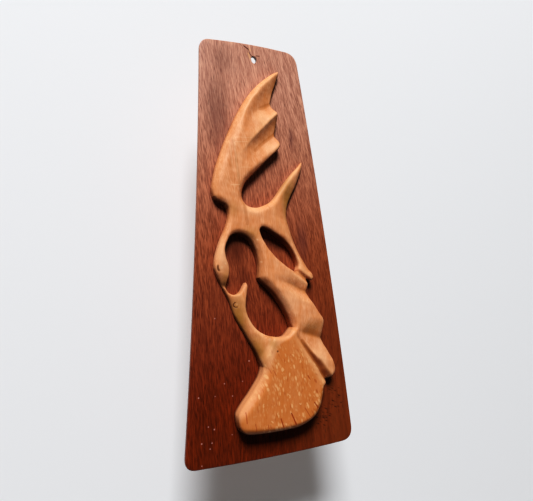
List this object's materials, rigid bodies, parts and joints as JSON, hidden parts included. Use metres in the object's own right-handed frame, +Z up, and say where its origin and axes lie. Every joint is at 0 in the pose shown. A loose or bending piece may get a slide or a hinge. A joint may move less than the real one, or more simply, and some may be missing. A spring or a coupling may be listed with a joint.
{
  "type": "carved wall panel",
  "caption": "Tapered dark wood backboard with a nail hole, carrying a lighter one-piece relief of a stylised bird with raised wing feeding its young above a nest.",
  "frame": {"origin": "on the backboard's back face, on its centre line, 9.4 mm below the nail hole's centre", "axes": "+X to the right seen from the front, +Y into the wall (out of the back face), +Z up, towards the narrow end"},
  "size_m": [0.1454, 0.018, 0.343],
  "materials": {
    "dark_wood": "dark red-brown wood, vertical grain with short dark pores, satin varnish",
    "light_wood": "light orange-tan close-grained wood, hand carved and sanded smooth, satin wax"
  },
  "bodies": {
    "root": {"backboard": "dark_wood", "carving": "light_wood"}
  },
  "joints": []
}
